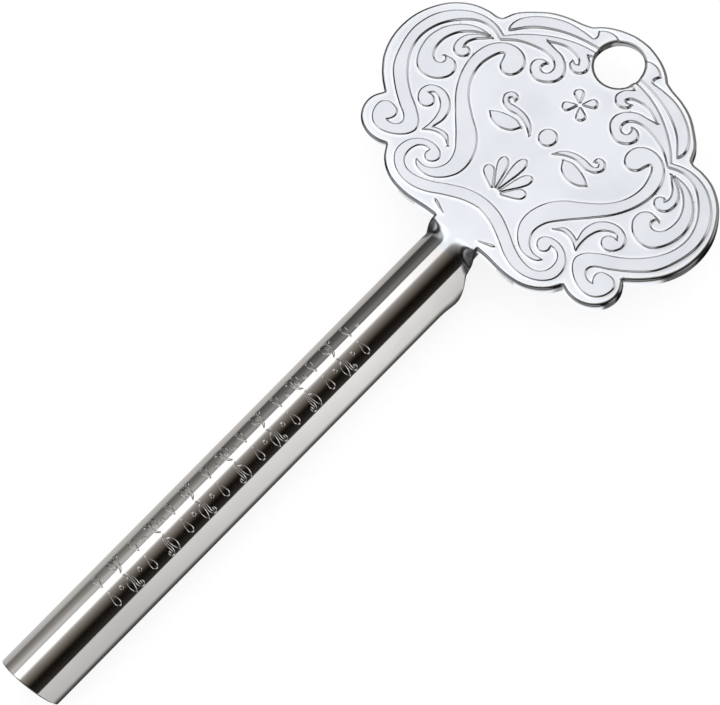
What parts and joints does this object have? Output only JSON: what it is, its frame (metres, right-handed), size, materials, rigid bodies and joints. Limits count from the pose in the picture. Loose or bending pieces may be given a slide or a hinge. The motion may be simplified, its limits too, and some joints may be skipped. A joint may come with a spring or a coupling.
{
  "type": "tube winding key",
  "caption": "Stamped metal tube-winding key: scroll-edged bow with a hang hole, short neck, and a slotted rolled barrel that winds up the crimped end of a soft tube.",
  "frame": {"origin": "centre of the bounding box, on the surface the key lies on", "axes": "+X along the key from the barrel's open end towards the tip of the bow, +Y to the left, +Z out of the bow's ornamented front face"},
  "size_m": [0.0908, 0.0408, 0.0067],
  "materials": {
    "satin_nickel": "bright nickel plate over steel, satin ground with raised polished scrollwork",
    "bright_nickel": "bright nickel plate over steel, polished, with faint lengthwise draw lines"
  },
  "bodies": {
    "root": {"bow_plate": "satin_nickel", "neck_web": "satin_nickel", "barrel_crown": "bright_nickel", "barrel_flank_left": "bright_nickel", "barrel_flank_right": "bright_nickel", "barrel_wing_left": "bright_nickel", "barrel_wing_right": "bright_nickel", "slot_lip_left": "bright_nickel", "slot_lip_right": "bright_nickel", "edge_scroll_left": "satin_nickel", "edge_scroll_right": "satin_nickel", "lobe_scroll_left": "satin_nickel", "lobe_scroll_right": "satin_nickel", "lobe_leaf_left": "satin_nickel", "lobe_leaf_right": "satin_nickel", "side_leaf_left": "satin_nickel", "side_leaf_right": "satin_nickel", "cartouche_band_left": "satin_nickel", "cartouche_band_right": "satin_nickel", "crown_leaf_left": "satin_nickel", "crown_leaf_right": "satin_nickel", "neck_band": "satin_nickel", "spray_stem_left": "satin_nickel", "spray_stem_right": "satin_nickel", "spray_leaf_left": "satin_nickel", "spray_leaf_right": "satin_nickel", "centre_boss": "satin_nickel", "fan_drop_1": "satin_nickel", "fan_drop_2": "satin_nickel", "fan_drop_3": "satin_nickel", "fan_drop_4": "satin_nickel", "fan_drop_5": "satin_nickel", "rosette_petal_1": "satin_nickel", "rosette_petal_2": "satin_nickel", "rosette_petal_3": "satin_nickel", "rosette_petal_4": "satin_nickel"}
  },
  "joints": []
}
